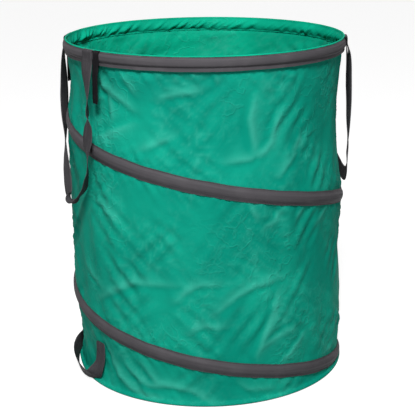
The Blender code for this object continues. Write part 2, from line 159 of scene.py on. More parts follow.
def metresRound(angle):
    return np.radians(angle) * bag["radius"]


def shellUv(angles, across):
    # uv in metres for a shell: round the bag, and across the piece on both faces
    return pairs(metresRound(angles), np.concatenate([across, across[::-1], across[:1]]))


def arcLength(points):
    return np.concatenate([[0], np.cumsum(np.linalg.norm(np.diff(points, axis=0), axis=1))])


def foldNoise(seed, count, size, spacing, lean, spread):
    # Noise over one period of cloth (width, height): folds about spacing apart that run at lean degrees
    # from upright. Random waves are kept where their direction and length fit, and the sum has unit spread.
    rng = np.random.default_rng(seed)
    wide, tall = count
    kx = np.fft.fftfreq(wide, size[0] / wide)[:, None]
    kz = np.fft.fftfreq(tall, size[1] / tall)[None, :]
    off = (np.degrees(np.arctan2(kz, kx)) - lean + 90) % 180 - 90
    keep = np.exp(-((np.hypot(kx, kz) * spacing - 1) / 0.42) ** 2) * np.exp(-(off / spread) ** 2)
    field = np.real(np.fft.ifft2(np.fft.fft2(rng.standard_normal((wide, tall))) * keep))
    return field / field.std()


def lookUp(field, x, z, size):
    # smooth reading of a periodic field at x (metres round) and z (metres up)
    wide, tall = field.shape
    px, pz = x / size[0] * wide, z / size[1] * tall
    ix, iz = np.floor(px).astype(int), np.floor(pz).astype(int)
    fx, fz = px - ix, pz - iz
    a, b = field[ix % wide, iz % tall], field[(ix + 1) % wide, iz % tall]
    c, d = field[ix % wide, (iz + 1) % tall], field[(ix + 1) % wide, (iz + 1) % tall]
    return (a * (1 - fx) + b * fx) * (1 - fz) + (c * (1 - fx) + d * fx) * fz


# The node helpers find their tree through the sockets that they are given.

def join(source, target):
    if isinstance(source, (int, float, tuple)):
        target.default_value = source
    else:
        target.id_data.links.new(source, target)


def place(tree, kind, inputs=None, **settings):
    made = tree.nodes.new("ShaderNode" + kind)
    for key, value in settings.items():
        setattr(made, key, value)
    for key, value in (inputs or {}).items():
        join(value, made.inputs[key])
    return made


def calc(operation, *values):
    tree = next(value.id_data for value in values if hasattr(value, "id_data"))
    return place(tree, "Math", dict(enumerate(values)), operation=operation).outputs[0]


def times(first, second):
    return calc("MULTIPLY", first, second)


def timesPlus(first, second, third):
    return calc("MULTIPLY_ADD", first, second, third)


def apart(first, second):
    return calc("ABSOLUTE", calc("SUBTRACT", first, second))


def spanTo(value, low, high, newLow=0.0, newHigh=1.0):
    inputs = {"Value": value, "From Min": low, "From Max": high, "To Min": newLow, "To Max": newHigh}
    return place(value.id_data, "MapRange", inputs, interpolation_type="SMOOTHSTEP").outputs[0]


def blendColour(share, first, second):
    inputs = {0: share, 6: first, 7: second}
    return place(share.id_data, "Mix", data_type="RGBA", inputs=inputs).outputs[2]


def noise(vector, scale, detail=3.0, roughness=0.55, dimensions="3D"):
    inputs = {"Vector": vector, "Scale": scale, "Detail": detail, "Roughness": roughness}
    return place(vector.id_data, "TexNoise", inputs, noise_dimensions=dimensions).outputs["Fac"]


def bump(height, strength, distance, after=None):
    inputs = {"Strength": strength, "Distance": distance, "Height": height}
    made = place(height.id_data, "Bump", inputs)
    if after is not None:
        join(after, made.inputs["Normal"])
    return made.outputs[0]


def useGroup(group, **inputs):
    tree = next(value.id_data for value in inputs.values() if hasattr(value, "id_data"))
    return place(tree, "Group", inputs, node_tree=group).outputs


def makeGroup(name, build, **inputs):
    # A node group from a function of its input sockets that returns its results by name.
    # An input is given by its usual value, or None for a vector.
    group = bpy.data.node_groups.new(name, "ShaderNodeTree")
    for label, value in inputs.items():
        kind = "NodeSocketVector" if value is None else "NodeSocketFloat"
        made = group.interface.new_socket(label, in_out="INPUT", socket_type=kind)
        if value is not None:
            made.default_value = value
    results = build(group.nodes.new("NodeGroupInput").outputs)
    end = group.nodes.new("NodeGroupOutput")
    for label, result in results.items():
        group.interface.new_socket(label, in_out="OUTPUT", socket_type="NodeSocketFloat")
        join(result, end.inputs[label])
    return group


def weaveThreads(given):
    # threads over and under: two crossed waves whose product alternates from cell to cell
    threads = (times(given[way], given["Threads"]) for way in ("Along", "Across"))
    height = calc("ABSOLUTE", times(*(calc("SINE", times(count, math.pi)) for count in threads)))
    return {"Height": height, "Gaps": calc("SUBTRACT", 1.0, calc("SQRT", height))}


def crinkleCloth(given):
    # fine creases of coated cloth: two warped noises whose middle lines stand up as thin ridges
    where, scale = given["Vector"], given["Scale"]
    warp = place(where.id_data, "TexNoise", {"Vector": where, "Scale": times(scale, 0.35), "Detail": 2.0})
    bent = place(where.id_data, "VectorMath", {0: warp.outputs["Color"], 1: (0.05, 0.05, 0.05), 2: where},
                 operation="MULTIPLY_ADD").outputs[0]
    first, second = noise(bent, scale, 2.0), noise(bent, times(scale, 2.3), 1.0)
    crest = spanTo(apart(first, 0.5), 0.0, 0.035, 1.0, 0.0)
    fineCrest = spanTo(apart(second, 0.5), 0.0, 0.04, 1.0, 0.0)
    patch = spanTo(noise(where, times(scale, 0.22), 1.0), 0.45, 0.62)
    total = times(timesPlus(fineCrest, 0.35, crest), patch)
    return {"Height": timesPlus(first, 1.4, times(total, 0.45)), "Crests": total}


def streakBand(given):
    # long streaks along a tape or strap
    lengths = {"X": times(given["Along"], given["Length"]), "Y": times(given["Across"], given["Fineness"])}
    joined = place(given[0].id_data, "CombineXYZ", lengths).outputs[0]
    return {"Tone": noise(joined, 1.0, 4.0, 0.6)}


def sewRow(given):
    # a row of stitches: dashes along the piece at a distance across it, in a shallow dimple
    off = apart(given["Across"], given["Row"])
    line = calc("MAXIMUM", calc("SUBTRACT", 1.0, calc("DIVIDE", off, given["Thread"])), 0.0)
    step = calc("FRACT", calc("DIVIDE", given["Along"], given["Stitch"]))
    mask = times(line, spanTo(apart(step, 0.5), 0.30, 0.42, 1.0, 0.0))
    return {"Mask": mask, "Height": calc("ADD", mask, spanTo(off, 0.0, 0.0022, -0.55, 0.0))}


def rubEdges(given):
    # rubbed edges: strong near the half width, broken up by noise
    near = calc("SUBTRACT", given["Half"], calc("ABSOLUTE", given["Across"]))
    broken = spanTo(noise(given["Vector"], 60.0, 3.0), 0.38, 0.62)
    return {"Mask": times(spanTo(near, 0.0, 0.0016, 1.0, 0.0), broken)}


plainWeave = makeGroup("plainWeave", weaveThreads, Along=0, Across=0, Threads=900)
crinkle = makeGroup("crinkle", crinkleCloth, Vector=None, Scale=30)
streaks = makeGroup("streaks", streakBand, Along=0, Across=0, Fineness=500, Length=14)
stitchRow = makeGroup("stitchRow", sewRow, Along=0, Across=0, Row=0.013, Stitch=0.0035, Thread=0.0006)
edgeWear = makeGroup("edgeWear", rubEdges, Across=0, Half=0.015, Vector=None)


def startFinish(name, roughness, gloss):
    # a material, object coordinates and the uv lengths along and across
    made = bpy.data.materials.new(name)
    made.use_nodes = True
    tree = made.node_tree
    shader = tree.nodes["Principled BSDF"].inputs
    shader["Roughness"].default_value = roughness
    shader["Specular IOR Level"].default_value = gloss
    where = place(tree, "TexCoord").outputs["Object"]
    uv = place(tree, "UVMap", uv_map="UVMap").outputs[0]
    split = place(tree, "SeparateXYZ", {"Vector": uv}).outputs
    return made, where, {"Along": split["X"], "Across": split["Y"]}


def endFinish(finish, colour, roughness, normal):
    shader = finish.node_tree.nodes["Principled BSDF"].inputs
    for source, target in ((colour, "Base Color"), (roughness, "Roughness"), (normal, "Normal")):
        join(source, shader[target])
    return finish


def mark(finish, name):
    # the value that surface() stored on each point under this name
    return place(finish.node_tree, "Attribute", attribute_name=name).outputs["Fac"]


# the inside colours are painted lighter than the outside ones, for light that shines through the cloth
clothLook = {"outside": (0.0035, 0.280, 0.192, 1), "outsideDeep": (0.0012, 0.220, 0.154, 1),
             "inside": (0.002, 0.345, 0.210, 1), "insideDeep": (0.0015, 0.270, 0.165, 1),
             # on the next line, seam is a dark green painted as shade in the hem's pinched seam
             # on the next line, the light green is a painted highlight for fold crests, partly whitened
             # coating
             "wearAndHighlight": (0.060, 0.420, 0.320, 1), "seam": (0.001, 0.060, 0.040, 1),
             "thread": (0.010, 0.090, 0.070, 1), "seamRow": 0.6385, "roughness": 0.60, "threads": 950.0,
             "crinkle": 26.0}


def clothFinish(name, stitched=False):
    # coated cloth: outside tone, an inside tone painted lighter for light through the cloth, crinkle, plain
    # weave, and creases lightened by a painted highlight that is partly whitened coating
    made, where, ways = startFinish(name, clothLook["roughness"], 0.03)
    tone = spanTo(noise(where, 7.0), 0.35, 0.68)
    fold = useGroup(crinkle, Vector=where, Scale=clothLook["crinkle"])
    weave = useGroup(plainWeave, **ways, Threads=clothLook["threads"])
    outer = blendColour(tone, clothLook["outsideDeep"], clothLook["outside"])
    # painted light: the inside faces take the lighter inside colours, for light shining through the cloth
    inner = blendColour(tone, clothLook["insideDeep"], clothLook["inside"])
    colour = blendColour(mark(made, "inside"), outer, inner)
    # painted highlight: the crinkle's crests and the wall's crease ridges turn light green, for gloss on
    # the folds, partly whitened coating
    wearAndHighlight = timesPlus(fold["Crests"], 0.10, times(mark(made, "ridge"), 0.42))
    colour = blendColour(calc("MINIMUM", wearAndHighlight, 0.6), colour, clothLook["wearAndHighlight"])
    speck = spanTo(noise(where, 260.0, 2.0), 0.62, 0.72, 0.0, 0.22)
    colour = blendColour(speck, colour, clothLook["outsideDeep"])
    if stitched:
        # painted shade: the hem darkens along its pinched seam where its shade mark is high
        colour = blendColour(times(mark(made, "shade"), 0.85), colour, clothLook["seam"])
        row = useGroup(stitchRow, **ways, Row=clothLook["seamRow"])
        colour = blendColour(row["Mask"], colour, clothLook["thread"])
    rough = timesPlus(tone, -0.08, clothLook["roughness"] + 0.05)
    folded = bump(fold["Height"], 0.55, 0.0022)
    woven = bump(weave["Height"], 0.12, 0.0002, folded)
    return endFinish(made, colour, timesPlus(weave["Gaps"], 0.08, rough), woven)


def endBand(made, where, ways, look, half, rows, colours, height, streak):
    # what tapes and webbing share: rows of stitches, rubbed edges and streaks in the roughness
    for row in rows:
        seam = useGroup(stitchRow, **ways, Row=row, Stitch=look["stitch"])
        colours = blendColour(times(seam["Mask"], look["sewn"]), colours, look["thread"])
        height = calc("ADD", height, seam["Height"])
    wearAndHighlight = useGroup(edgeWear, Across=ways["Across"], Half=half, Vector=where)["Mask"]
    colours = blendColour(times(wearAndHighlight, look["wearAndHighlight"]), colours, look["edge"])
    return endFinish(made, colours, spanTo(streak, 0.3, 0.7, *look["rough"]), bump(height, *look["bump"]))


tapeLook = {"colour": (0.064, 0.060, 0.066, 1), "dark": (0.040, 0.037, 0.041, 1),
            "light": (0.094, 0.088, 0.095, 1), "edge": (0.012, 0.011, 0.012, 1),
            "thread": (0.020, 0.018, 0.020, 1), "stitch": 0.0035, "sewn": 0.8, "wearAndHighlight": 0.75,
            "threads": 1300.0, "rough": (0.70, 0.54), "bump": (0.35, 0.0006)}


def tapeFinish(name, half, rows, colour="colour"):
    # dark binding tape: lengthwise streaks, fine weave, stitched rows and dark edges
    made, where, ways = startFinish(name, 0.60, 0.05)
    streak = useGroup(streaks, **ways, Fineness=260.0, Length=7.0)["Tone"]
    weave = useGroup(plainWeave, **ways, Threads=tapeLook["threads"])
    colours = blendColour(spanTo(streak, 0.20, 0.60, 0.35, 1.0), tapeLook["dark"], tapeLook[colour])
    colours = blendColour(spanTo(noise(where, 18.0), 0.40, 0.75, 0.0, 0.45), colours, tapeLook["light"])
    height = timesPlus(streak, 0.6, times(weave["Height"], 0.25))
    return endBand(made, where, ways, tapeLook, half, rows, colours, height, streak)


webbingLook = {"colour": (0.056, 0.053, 0.058, 1), "dark": (0.028, 0.027, 0.030, 1),
               "light": (0.092, 0.088, 0.094, 1), "edge": (0.092, 0.088, 0.094, 1),
               "thread": (0.028, 0.027, 0.030, 1), "stitch": 0.003, "sewn": 0.7, "wearAndHighlight": 0.6, "rib": 0.0016,
               "rough": (0.74, 0.60), "bump": (0.45, 0.0005)}


def webbingFinish(name, half, rows):
    # ribbed webbing: ribs across it in two slanting halves, bright worn edges, rows of stitches
    made, where, ways = startFinish(name, 0.68, 0.05)
    slant = timesPlus(calc("ABSOLUTE", ways["Across"]), 0.6, ways["Along"])
    rib = spanTo(calc("SINE", times(slant, 2 * math.pi / webbingLook["rib"])), -1.0, 1.0)
    streak = useGroup(streaks, **ways, Fineness=300.0, Length=16.0)["Tone"]
    colours = blendColour(rib, webbingLook["dark"], webbingLook["colour"])
    colours = blendColour(spanTo(streak, 0.50, 0.75, 0.0, 0.5), colours, webbingLook["light"])
    height = timesPlus(rib, 0.7, streak)
    return endBand(made, where, ways, webbingLook, half, rows, colours, height, streak)


hookLook = {"dark": (0.004, 0.004, 0.005, 1), "colour": (0.017, 0.016, 0.018, 1),
            "light": (0.026, 0.025, 0.026, 1)}


def hookFinish(name):
    # hook and loop tape: almost black, with a tufted face
    made, where, _ = startFinish(name, 0.85, 0.03)
    uv = place(made.node_tree, "UVMap", uv_map="UVMap").outputs[0]
    tuft = noise(uv, 1400.0, 2.0, dimensions="2D")
    colours = blendColour(spanTo(tuft, 0.35, 0.7), hookLook["dark"], hookLook["colour"])
    colours = blendColour(spanTo(noise(where, 40.0, 2.0), 0.45, 0.7, 0.0, 0.4), colours, hookLook["light"])
    return endFinish(made, colours, spanTo(tuft, 0.3, 0.7, 0.95, 0.78), bump(tuft, 0.7, 0.0006))


wireLook = {"dark": (0.36, 0.37, 0.38, 1), "bright": (0.58, 0.58, 0.57, 1), "bloom": (0.16, 0.10, 0.06, 1)}


def wireFinish(name):
    # drawn spring steel: fine lengthwise scratches and a thin brown bloom
    made, where, ways = startFinish(name, 0.32, 0.5)
    made.node_tree.nodes["Principled BSDF"].inputs["Metallic"].default_value = 1.0
    scratch = useGroup(streaks, **ways, Fineness=2500.0, Length=30.0)["Tone"]
    bloom = noise(where, 22.0, 4.0)
    colours = blendColour(scratch, wireLook["dark"], wireLook["bright"])
    colours = blendColour(spanTo(bloom, 0.60, 0.78, 0.0, 0.5), colours, wireLook["bloom"])
    return endFinish(made, colours, spanTo(bloom, 0.4, 0.8, 0.26, 0.52), bump(scratch, 0.2, 0.0002))


wallCloth, hemCloth = clothFinish("wallCloth"), clothFinish("hemCloth", stitched=True)
baseCloth = clothFinish("baseCloth")
rimTapeCloth = tapeFinish("rimTapeCloth", 0.015, (-0.0130, 0.0130))
spiralTapeCloth = tapeFinish("spiralTapeCloth", 0.015, (-0.0128, 0.0128))
pipingCloth = tapeFinish("pipingCloth", 0.012, (), colour="dark")
carryWebbing = webbingFinish("carryWebbing", 0.015, (-0.012, 0.012))
hookTape, springSteel = hookFinish("hookTape"), wireFinish("springSteel")
print("finishes made")


wall = {"columns": 338, "rows": 137, "lowRow": 0.0115, "highRow": 0.6480, "frontShare": 0.655,
        "frontFiner": 0.30, "tuck": 0.012, "looseAngle": 328.0, "fullHeight": 0.12, "edgeFade": 0.016,
        # height of a section's middle, how far its cloth draws in, and how much more at the loose side
        "drawIn": ((0.07, 0.0045, -0.0050), (0.18, 0.0015, 0.0000), (0.30, 0.0020, 0.0030),
                   (0.55, 0.0082, 0.0005)),
        # the same for a wave that bellies out below the middle of the section
        "belly": ((0.07, 0.0), (0.18, 0.0040), (0.30, 0.0020), (0.45, 0.0)),
        "pull": 0.0085, "pullAngle": 169.0, "pullSpread": 26.0, "pullHeight": 0.13,
        "lean": 0.0035, "leanBelow": 0.6600, "leanOver": 0.012, "leanReach": 0.13,
        "pucker": 0.0018, "puckerReach": 0.016, "puckerLean": 150.0, "puckerStart": 0.005,
        # height and stand-off of the rows that lap over the piping, then heights of the top rows
        "skirt": ((0.0022, 0.0056), (0.0036, 0.0058), (0.0052, 0.0052), (0.0068, 0.0040),
                  (0.0080, 0.0024), (0.0095, 0.0010)), "skirtEnd": 0.0125,
        "top": (0.6540, 0.6620, 0.6700, 0.6789),
        # single folds: height and width in mm, then points of degrees round and mm up
        "creases": (
        (2.6, 7, (198, 101), (203, 72), (207, 43), (214, 20), (221, 12), (228, 10)),
        (1.8, 6, (210, 75), (217, 47), (223, 34), (231, 27)),
        (2.4, 8, (278, 220), (275, 175), (270, 122), (268, 98)),
        (2.2, 6, (292, 121), (286, 101), (279, 73)), (1.8, 6, (285, 143), (276, 128), (270, 113)),
        (1.6, 7, (240, 150), (246, 166), (256, 163)),
        (2.0, 8, (250, 188), (259, 223), (267, 241), (280, 250)),
        (1.7, 7, (235, 212), (241, 240), (246, 251), (254, 247)),
        (1.8, 8, (196, 184), (211, 226), (218, 243), (235, 246)),
        (1.8, 7, (199, 393), (208, 370), (211, 358)), (1.9, 7, (220, 79), (227, 41), (241, 32), (251, 6)),
        (1.4, 6, (260, 49), (264, 31), (276, 22)), (1.6, 6, (265, 402), (268, 370)),
        (1.6, 6, (279, 387), (276, 365), (270, 350)), (1.6, 6, (290, 380), (286, 359)),
        (1.8, 7, (306, 361), (298, 334)), (1.4, 6, (303, 48), (315, 56)), (1.3, 6, (223, 34), (237, 39)),
        (1.6, 7, (187, 248), (200, 215)), (2.2, 8, (199, 624), (214, 590), (219, 575)),
        (1.7, 7, (215, 636), (220, 607)), (1.8, 8, (229, 598), (236, 610), (247, 618)),
        (1.7, 8, (219, 549), (198, 509)), (2.4, 9, (268, 602), (266, 560), (268, 503)),
        (2.2, 8, (279, 570), (275, 514), (270, 488)), (1.8, 7, (290, 520), (286, 492)),
        (1.3, 5, (252, 642), (253, 629)), (1.9, 8, (255, 484), (266, 488), (272, 501)),
        (1.8, 7, (277, 448), (286, 485)), (2.0, 7, (202, 622), (207, 586), (208, 550)),
        (1.6, 8, (221, 503), (236, 533)))}
clothSize = (2 * math.pi * bag["radius"], 0.70)
fieldCount = (1024, 416)


def foldLines(count, size):
    # Single folds on the map: distance to each line of points, as a sharp ridge with a hollow on its
    # right side that fades out towards both ends.
    axes = (np.arange(steps) / steps * span for steps, span in zip(count, size))
    x, z = np.meshgrid(*axes, indexing="ij")
    field = np.zeros(count)
    for height, width, *points in wall["creases"]:
        path = np.array(points) * (math.radians(1) * bag["radius"], 0.001)
        length = arcLength(path)
        nearest, signed, along = (np.full(count, value) for value in (9.0, 9.0, 0.0))
        for start, end, begun in zip(path[:-1], path[1:], length[:-1]):
            whole = np.linalg.norm(end - start)
            way = (end - start) / whole
            dx, dz = x - start[0], z - start[1]
            reach = np.clip(dx * way[0] + dz * way[1], 0, whole)
            off = np.hypot(dx - reach * way[0], dz - reach * way[1])
            closer = off < nearest
            side = np.where(dx * way[1] - dz * way[0] > 0, 1.0, -1.0)
            nearest, signed = np.where(closer, off, nearest), np.where(closer, off * side, signed)
            along = np.where(closer, begun + reach, along)
        share, steps = along / length[-1], signed / (width * 0.001)
        profile = np.exp(-np.abs(steps)) - 0.55 * np.exp(-((steps - 1.5) / 0.9) ** 2)
        field += 1.35 * height * 0.001 * profile * np.sin(np.pi * (0.06 + 0.88 * share)) ** 0.7
    return field


# the wall's noises: seed, spacing, degrees from upright and spread of the direction
noises = {"soft": (3, 0.22, 0, 40), "upright": (5, 0.075, 8, 22), "slantLeft": (7, 0.036, 48, 16),
          "slantRight": (9, 0.034, -42, 16), "fine": (13, 0.030, 60, 50), "finer": (15, 0.018, -50, 50),
          "patchA": (17, 0.20, 0, 90), "patchB": (19, 0.17, 0, 90)}


def makeFolds():
    # The wall's relief in metres on a fine map: soft upright folds, slanting wrinkles in patches, creases;
    # and a map of their crests, where the cloth's colour gets a painted highlight.
    soft, upright, slantLeft, slantRight, fine, finer, patchA, patchB = (
        foldNoise(seed, fieldCount, clothSize, *ways) for seed, *ways in noises.values())
    patchA, patchB = easeIn(0.5 + 0.5 * patchA), easeIn(0.5 + 0.5 * patchB)
    crease = np.exp(-np.abs(fine) / 0.22) * patchA + 0.6 * np.exp(-np.abs(finer) / 0.22) * patchB
    singles = foldLines(fieldCount, clothSize)
    relief = (0.0011 * soft + 0.0008 * upright + 0.00085 * slantLeft * patchA
              + 0.00085 * slantRight * patchB + 0.0012 * crease + singles)
    return relief, np.clip(crease * 0.6 + singles / 0.0022, 0, 1)


folds, creases = makeFolds()


def ripple(angle, seed, terms, low, high):
    # sum of random waves round the bag, with whole numbers of waves, between about -1 and 1
    rng = np.random.default_rng(seed)
    total = np.zeros_like(np.asarray(angle, dtype=float))
    for waves in rng.integers(low, high, terms):
        total = total + np.sin(np.radians(angle) * waves + rng.uniform(0, 6.3)) / math.sqrt(terms)
    return total * 0.8


def sectionEdges(angle):
    # heights of the sewn lines at this angle, from the base up, as pairs of low and high of each section
    inTurn = np.mod(angle, 360.0)
    lower, upper, tuck = coilHeight(inTurn + 360), coilHeight(inTurn), wall["tuck"]
    return [(np.full_like(lower, bag["foot"]), lower - tuck), (lower + tuck, upper - tuck),
            (upper + tuck, np.full_like(lower, tape["rimBottom"] + 0.002))]


def footPull(angle, height):
    # how far the foot is drawn in behind the low handle: a bell round the bag that fades upwards
    off = (angle - wall["pullAngle"] + 180) % 360 - 180
    bell = np.exp(-(off / wall["pullSpread"]) ** 2)
    return wall["pull"] * bell * (1 - easeIn(height / wall["pullHeight"]))


def wallRadius(angle, height):
    # Radius of the cloth's outside: the hoop radius less a half sine between sewn lines, plus puckers along
    # those lines and the relief, which fades out at every sewn line.
    heights, drawnIn, extra = np.transpose(wall["drawIn"])
    loose = np.cos(np.radians(angle - wall["looseAngle"]))
    sections = sectionEdges(angle)
    radius = (np.full(np.broadcast(angle, height).shape, bag["radius"])
              - wall["lean"] * easeIn((wall["leanBelow"] - height) / wall["leanOver"]))
    start, reach = sections[-1][0], wall["leanReach"]
    radius = radius + wall["lean"] * easeIn((start + reach - height) / reach)
    free, puckers = np.zeros_like(radius), np.zeros_like(radius)
    for low, high in sections:
        share = (height - low) / np.maximum(high - low, 1e-4)
        inside = (share > 0) & (share < 1)
        middle = (low + high) / 2
        depth = np.interp(middle, heights, drawnIn) + np.interp(middle, heights, extra) * loose
        belly = np.interp(middle, *np.transpose(wall["belly"])) * np.maximum(0, loose)
        fits = np.minimum(1, np.maximum(high - low, 0) / wall["fullHeight"])
        share = np.clip(share, 0, 1)
        drawn = fits * (depth * np.sin(np.pi * share) - belly * np.sin(2 * np.pi * share))
        radius = radius - np.where(inside, drawn, 0)
        edge = np.minimum(height - low, high - height)
        free = np.where(inside, np.maximum(free, easeIn(edge / wall["edgeFade"])), free)
        gather = easeIn(edge / wall["puckerStart"]) * np.exp(-edge / wall["puckerReach"])
        slope = np.where(height - low < high - height, edge, -edge) * wall["puckerLean"]
        puckers = np.where(inside, puckers + gather * ripple(angle + slope, 25, 18, 40, 150), puckers)
    relief = lookUp(folds, *np.broadcast_arrays(metresRound(angle), height), clothSize)
    return radius + relief * free + wall["pucker"] * puckers - footPull(angle, height)


def makeWall():
    # a shell whose columns stand closer at the front, from the piping up to the hem
    share = np.arange(wall["columns"] + 1) / wall["columns"]
    front = 2 * math.pi * wall["frontShare"]
    shift = np.sin(2 * math.pi * share - front) + math.sin(front)
    angles = 360 * share - wall["frontFiner"] * np.degrees(shift)
    low, out = np.transpose(wall["skirt"])
    heights = np.concatenate([low, np.linspace(wall["lowRow"], wall["highRow"], wall["rows"]), wall["top"]])
    a, z = angles[:-1, None], heights[None, :]
    radius = wallRadius(a, z) + np.interp(heights, [*low, wall["skirtEnd"]], [*out, 0])
    # ridge carries the crease map, which gets the painted highlight in the cloth's colour
    ridge = lookUp(creases, metresRound(a), z, clothSize)
    return surface("wall_panel_cloth", "wall_panel", "base",
                   shell(around(a, radius, z), around(a, radius - bag["cloth"], z)),
                   shellUv(angles, heights), wallCloth, wrapAlong=True, sharp=None,
                   marks={"inside": np.repeat([0.0, 1.0], len(heights)), "ridge": shell(ridge, ridge)})


wallPiece = makeWall()
print("wall made", len(wallPiece.data.polygons), "faces")


rimTape = {"columns": 480, "rows": 25, "middle": 0.6625, "flange": 0.6585, "edge": 0.6775,
           # height and how far the tape stands off the wall there
           "profile": ((0.6775, 0.0004), (0.6748, 0.0020), (0.6715, 0.0036), (0.6680, 0.0041),
                       (0.6640, 0.0040), (0.6612, 0.0030), (0.6590, 0.0006), (0.6575, 0.0000),
                       (0.6555, 0.0000), (0.6535, -0.0013), (0.6517, -0.0026))}


def tunnelBell(distance):
    # lift of a tape over its wire: a squared cosine with a flattened top
    share = np.clip(np.abs(distance) / tape["bell"], 0, 1)
    return tape["lift"] * np.cos(np.pi / 2 * share ** 1.6) ** 2


def makeRimTape():
    # the profile carried round the mouth, lifted where the coil starts beneath it and puckered at its edges
    angles = np.linspace(0, 360, rimTape["columns"] + 1)
    rows = curveThrough(rimTape["profile"], rimTape["rows"])
    a, z, lift = angles[:-1, None], rows[None, :, 0], rows[None, :, 1]
    coil = np.where(a > 180, coilHeight(a - 360), coilHeight(a))
    lift = np.maximum(lift, np.where(a < 60, tunnelBell(z - coil), 0))
    lower, upper = easeIn((rimTape["flange"] - z) / 0.010), easeIn((rimTape["edge"] - z) / 0.006)
    pucker = ripple(a, 21, 14, 20, 110) * 0.00035 * lower + ripple(a, 22, 8, 4, 30) * 0.0002 * upper
    radius = np.maximum(tape["radius"] + lift + np.maximum(pucker, -0.0002), wallRadius(a, z) + bag["gap"])
    z = z + ripple(a, 23, 8, 5, 40) * 0.0004 * lower
    return surface("rim_tape_cloth", "rim_tape", "rim",
                   shell(around(a, radius + tape["thick"], z), around(a, radius, z)),
                   shellUv(angles, rows[:, 0] - rimTape["middle"]), rimTapeCloth, wrapAlong=True)


spiralTape = {"stations": 1150, "rows": 17, "start": 23.9, "half": 0.0142, "reach": 0.015, "least": 0.002,
              "squeeze": 0.00012, "wave": 0.0004, "pucker": 0.0004, "puckerFrom": 0.009,
              "ridge": 0.00035, "ridgeRow": 0.0095}


def makeSpiralTape():
    # the tape follows the coil; it comes out under the rim tape and runs out above the piping
    ceiling = rimTape["profile"][-1][0] - bag["gap"]
    angles = np.linspace(spiralTape["start"], spring["coilEnd"], spiralTape["stations"])
    angles = angles[coilHeight(angles) - spiralTape["reach"] < ceiling - spiralTape["least"]]
    middle = coilHeight(angles)[:, None]
    across = np.linspace(-spiralTape["half"], spiralTape["half"], spiralTape["rows"])
    a, v = angles[:, None], across[None, :]
    step = np.arange(len(across))[None, :] * spiralTape["squeeze"]
    z = np.minimum(middle + v + ripple(a, 31, 8, 4, 36) * spiralTape["wave"], ceiling - step[:, ::-1])
    z = np.maximum(z, bag["foot"] + step)
    edge = easeIn((np.abs(v) - spiralTape["puckerFrom"]) / 0.006)
    pucker = ripple(a, 33, 14, 25, 120) * (v > 0) + ripple(a, 35, 14, 25, 120) * (v < 0)
    lift = tunnelBell(z - middle) + np.maximum(pucker, -0.3) * spiralTape["pucker"] * edge + 0.0001
    lift = lift + spiralTape["ridge"] * np.exp(-((v + spiralTape["ridgeRow"]) / 0.002) ** 2)
    radius = tape["radius"] + lift
    made = surface("spiral_tape_cloth", "spiral_tape", "base",
                   shell(around(a, radius + tape["thick"], z), around(a, radius, z)),
                   shellUv(angles - angles[0], across), spiralTapeCloth)
    return made, metresRound(angles[-1] - angles[0])


rimTapePiece = makeRimTape()
spiralTapePiece, spiralLength = makeSpiralTape()
print("tapes made")


def makeWire(name, node, body, angles, radius, height, closed=False):
    # a circle carried along the angles; a closed wire leaves out the last angle, which is the first again
    turn = np.linspace(0, 2 * math.pi, spring["sides"] + 1)
    kept = slice(-1 if closed else None)
    a, r, h = (row[kept, None] for row in np.broadcast_arrays(angles, radius, height))
    wire = spring["wire"]
    grid = around(a, r + wire * np.cos(turn[None, :-1]), h + wire * np.sin(turn[None, :-1]))
    uv = pairs(np.radians(angles) * radius, turn * wire)
    return surface(name, node, body, grid, uv, springSteel, wrapAlong=closed)


hoopAngles = np.linspace(0, 360, 361)
footRadius = spring["baseHoopRadius"] - footPull(hoopAngles, 0.0)
makeWire("rim_hoop", "rim_hoop_wire", "rim", hoopAngles, spring["coilRadius"], spring["rimHoopZ"], True)
makeWire("base_hoop", "base_hoop_wire", "base", hoopAngles, footRadius, spring["baseHoopZ"], True)
coilTop = np.linspace(spring["coilStart"], spring["splitAngle"], 40)
coil = np.linspace(spring["splitAngle"], spring["coilEnd"], 680)
makeWire("coil_under_rim_tape", None, "rim", coilTop, spring["coilRadius"], coilHeight(coilTop))
coilPiece = makeWire("coil_spring", "spring_coil", "base", coil, spring["coilRadius"], coilHeight(coil))
print("spring made")


hem = {"columns": 480, "rows": 28, "flangeRows": 6, "top": 0.6765, "bottom": 0.6515, "seam": 0.6545,
       "puff": 0.0046, "largest": 0.2759, "clearance": 0.0005, "flute": 0.0016, "fluteReach": 0.006,
       "shadow": 0.0016,
       # radius and height along the under side and the upper side of the outer lip
       "underLip": ((0.2772, 0.6791), (0.2775, 0.6787), (0.2774, 0.6779)),
       "overLip": ((0.2783, 0.6779), (0.2784, 0.6789), (0.2779, 0.6797), (0.2770, 0.6800), (0.2760, 0.6799),
                   (0.2753, 0.6792), (0.2751, 0.6780)), "lipWave": 0.0002}


